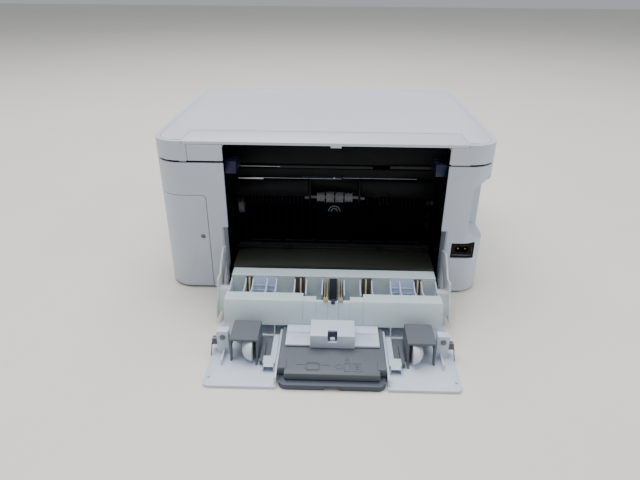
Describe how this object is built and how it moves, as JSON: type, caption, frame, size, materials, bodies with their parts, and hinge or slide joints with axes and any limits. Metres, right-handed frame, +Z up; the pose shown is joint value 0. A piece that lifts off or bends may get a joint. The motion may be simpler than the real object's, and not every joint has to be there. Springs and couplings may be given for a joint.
{
  "type": "inkjet printer",
  "caption": "Desktop inkjet printer with flatbed scanner: lifting scanner unit and lid, open rear jam door with paper-turn guide and sliding support, front cassette and tilting control panel.",
  "frame": {"origin": "on the table plane, at the centre of the whole object's outline with the rear door lying open", "axes": "+Z up, +Y towards the rear face with the door, -Y towards the user at the control panel, +X to the left as seen from the rear"},
  "size_m": [0.394, 0.484, 0.1915],
  "materials": {
    "white_shell": "fine satin moulded texture",
    "white_inner": "satin",
    "translucent_guide": "frosted translucent",
    "black_frame": "satin black",
    "dark_grey": "satin",
    "mid_grey": "fine texture",
    "blue_plastic": "translucent look",
    "steel": "brushed",
    "steel_dark": "zinc plated",
    "cream_plastic": "satin",
    "black_rubber": "matte",
    "grey_rubber": "matte",
    "board_green": "solder mask",
    "glass_clear": "clear",
    "screen_glass": "dark",
    "white_foam": "soft pad",
    "button_light": "satin",
    "button_red": "satin",
    "button_green": "satin"
  },
  "bodies": {
    "chassis": {"base_pan": "dark_grey", "rubber_feet": "black_rubber", "lower_shell": "white_shell", "side_access_cover": "white_shell", "side_cover_screw": "steel_dark", "power_inlet": "black_frame", "power_supply": "steel", "main_board": "board_green", "side_frames": "black_frame", "slot_guides": "blue_plastic", "sill_deck": "mid_grey", "inner_turn_guide": "black_frame", "upper_feed_frame": "black_frame", "platen": "black_frame", "drive_motors": "steel", "carriage_rail": "steel", "drive_belt": "black_rubber", "maintenance_station": "dark_grey"},
    "rear_feed_roller": {"rear_feed_roller": "grey_rubber"},
    "main_feed_roller": {"main_feed_roller": "grey_rubber"},
    "pinch_rollers": {"pinch_rollers": "cream_plastic"},
    "eject_roller": {"eject_roller": "black_rubber"},
    "star_wheels": {"star_wheels": "steel"},
    "idler_gear": {"idler_gear": "cream_plastic"},
    "motor_pinion": {"motor_pinion": "cream_plastic"},
    "drive_pulley": {"drive_pulley": "cream_plastic"},
    "tail_pulley": {"tail_pulley": "cream_plastic"},
    "print_carriage": {"print_carriage": "dark_grey", "ink_cartridges": "black_frame"},
    "pickup_arm": {"pickup_arm": "black_frame"},
    "pickup_roller": {"pickup_roller": "grey_rubber"},
    "cassette": {"cassette_tray": "dark_grey", "output_tray": "dark_grey"},
    "cassette_front": {"cassette_front": "white_shell"},
    "width_guide_left": {"width_guide_left": "blue_plastic"},
    "width_guide_right": {"width_guide_right": "blue_plastic"},
    "paper_stopper": {"paper_stopper": "dark_grey"},
    "control_panel": {"control_panel": "black_frame", "touch_screen": "screen_glass"},
    "power_button": {"power_button": "button_light"},
    "stop_button": {"stop_button": "button_red"},
    "start_button": {"start_button": "button_green"},
    "scanner_unit": {"scanner_frame": "white_shell", "rear_band_panel": "white_shell", "scanner_tub": "black_frame", "scan_glass": "glass_clear"},
    "scan_bar": {"scan_bar": "black_frame"},
    "document_lid": {"document_lid": "white_shell", "lid_pad": "white_foam"},
    "slot_cover": {"slot_cover": "white_shell"},
    "rear_door": {"door_panel": "white_inner", "turn_guide": "translucent_guide", "guide_cheeks": "translucent_guide", "guide_pad": "black_rubber", "latch_box": "white_inner", "paper_guides": "mid_grey", "door_hardware": "steel_dark"},
    "guide_idlers": {"guide_idlers": "cream_plastic"},
    "paper_support": {"paper_support": "mid_grey"},
    "support_extension": {"support_extension": "mid_grey"}
  },
  "joints": [
    {"name": "rear_door_hinge", "type": "hinge", "parent": "chassis", "child": "rear_door", "pos_m": [0, 0.058, 0.004], "axis": [1, 0, 0], "range_deg": [0, 90]},
    {"name": "guide_idlers_spin", "type": "hinge", "parent": "rear_door", "child": "guide_idlers", "pos_m": [0, 0.119, 0.009], "axis": [1, 0, 0], "continuous": true},
    {"name": "paper_support_slide", "type": "slide", "parent": "rear_door", "child": "paper_support", "axis": [0, 1, 0], "range_m": [0, 0.045]},
    {"name": "support_extension_slide", "type": "slide", "parent": "paper_support", "child": "support_extension", "axis": [0, 1, 0], "range_m": [0, 0.06]},
    {"name": "scanner_unit_hinge", "type": "hinge", "parent": "chassis", "child": "scanner_unit", "pos_m": [0, 0.0595, 0.1686], "axis": [-1, 0, 0], "range_deg": [0, 28]},
    {"name": "scan_bar_slide", "type": "slide", "parent": "scanner_unit", "child": "scan_bar", "axis": [1, 0, 0], "range_m": [0, 0.275]},
    {"name": "document_lid_hinge", "type": "hinge", "parent": "scanner_unit", "child": "document_lid", "pos_m": [0, 0.055, 0.1905], "axis": [-1, 0, 0], "range_deg": [0, 80]},
    {"name": "slot_cover_hinge", "type": "hinge", "parent": "scanner_unit", "child": "slot_cover", "pos_m": [0, 0.0165, 0.19], "axis": [1, 0, 0], "range_deg": [0, 100]},
    {"name": "control_panel_hinge", "type": "hinge", "parent": "chassis", "child": "control_panel", "pos_m": [0, -0.2408, 0.1381], "axis": [-1, 0, 0], "range_deg": [0, 50]},
    {"name": "power_button_press", "type": "slide", "parent": "control_panel", "child": "power_button", "axis": [0, 1, 0], "range_m": [0, 0.0012], "stiffness_N_per_m": 350},
    {"name": "stop_button_press", "type": "slide", "parent": "control_panel", "child": "stop_button", "axis": [0, 1, 0], "range_m": [0, 0.0012], "stiffness_N_per_m": 350},
    {"name": "start_button_press", "type": "slide", "parent": "control_panel", "child": "start_button", "axis": [0, 1, 0], "range_m": [0, 0.0012], "stiffness_N_per_m": 350},
    {"name": "carriage_slide", "type": "slide", "parent": "chassis", "child": "print_carriage", "axis": [-1, 0, 0], "range_m": [0, 0.244]},
    {"name": "drive_pulley_spin", "type": "hinge", "parent": "chassis", "child": "drive_pulley", "pos_m": [0.177, 0.062, 0.1295], "axis": [0, 1, 0], "continuous": true},
    {"name": "tail_pulley_spin", "type": "hinge", "parent": "chassis", "child": "tail_pulley", "pos_m": [-0.1445, 0.062, 0.1295], "axis": [0, 1, 0], "continuous": true},
    {"name": "main_feed_roller_spin", "type": "hinge", "parent": "chassis", "child": "main_feed_roller", "pos_m": [0, -0.044, 0.078], "axis": [1, 0, 0], "continuous": true},
    {"name": "idler_gear_spin", "type": "hinge", "parent": "chassis", "child": "idler_gear", "pos_m": [0, -0.07865, 0.078], "axis": [1, 0, 0], "continuous": true},
    {"name": "eject_roller_spin", "type": "hinge", "parent": "chassis", "child": "eject_roller", "pos_m": [0, -0.1085, 0.078], "axis": [1, 0, 0], "continuous": true},
    {"name": "motor_pinion_spin", "type": "hinge", "parent": "chassis", "child": "motor_pinion", "pos_m": [0, -0.028, 0.0577], "axis": [1, 0, 0], "continuous": true},
    {"name": "pinch_rollers_spin", "type": "hinge", "parent": "chassis", "child": "pinch_rollers", "pos_m": [0, -0.042, 0.0902], "axis": [1, 0, 0], "continuous": true},
    {"name": "star_wheels_spin", "type": "hinge", "parent": "chassis", "child": "star_wheels", "pos_m": [0, -0.1085, 0.0896], "axis": [1, 0, 0], "continuous": true},
    {"name": "rear_feed_roller_spin", "type": "hinge", "parent": "chassis", "child": "rear_feed_roller", "pos_m": [0, -0.008, 0.0985], "axis": [1, 0, 0], "continuous": true},
    {"name": "pickup_arm_swing", "type": "hinge", "parent": "chassis", "child": "pickup_arm", "pos_m": [0, -0.025, 0.06], "axis": [1, 0, 0], "range_deg": [-6, 8]},
    {"name": "pickup_roller_spin", "type": "hinge", "parent": "pickup_arm", "child": "pickup_roller", "pos_m": [0, -0.039, 0.038], "axis": [1, 0, 0], "continuous": true},
    {"name": "cassette_slide", "type": "slide", "parent": "chassis", "child": "cassette", "axis": [0, -1, 0], "range_m": [0, 0.2]},
    {"name": "cassette_extension_slide", "type": "slide", "parent": "cassette", "child": "cassette_front", "axis": [0, -1, 0], "range_m": [0, 0.055]},
    {"name": "width_guide_left_slide", "type": "slide", "parent": "cassette", "child": "width_guide_left", "axis": [-1, 0, 0], "range_m": [0, 0.05]},
    {"name": "width_guide_right_slide", "type": "slide", "parent": "cassette", "child": "width_guide_right", "axis": [1, 0, 0], "range_m": [0, 0.05]},
    {"name": "paper_stopper_hinge", "type": "hinge", "parent": "cassette", "child": "paper_stopper", "pos_m": [0, -0.213, 0.0497], "axis": [1, 0, 0], "range_deg": [0, 95]}
  ],
  "couplings": [
    {"joint": "drive_pulley_spin", "follows": "carriage_slide", "rad_per_m": 161.29},
    {"joint": "tail_pulley_spin", "follows": "carriage_slide", "rad_per_m": 161.29},
    {"joint": "idler_gear_spin", "follows": "main_feed_roller_spin", "ratio": -1.2632},
    {"joint": "eject_roller_spin", "follows": "main_feed_roller_spin", "ratio": 1.3333},
    {"joint": "motor_pinion_spin", "follows": "main_feed_roller_spin", "ratio": -3},
    {"joint": "width_guide_right_slide", "follows": "width_guide_left_slide", "ratio": 1}
  ]
}
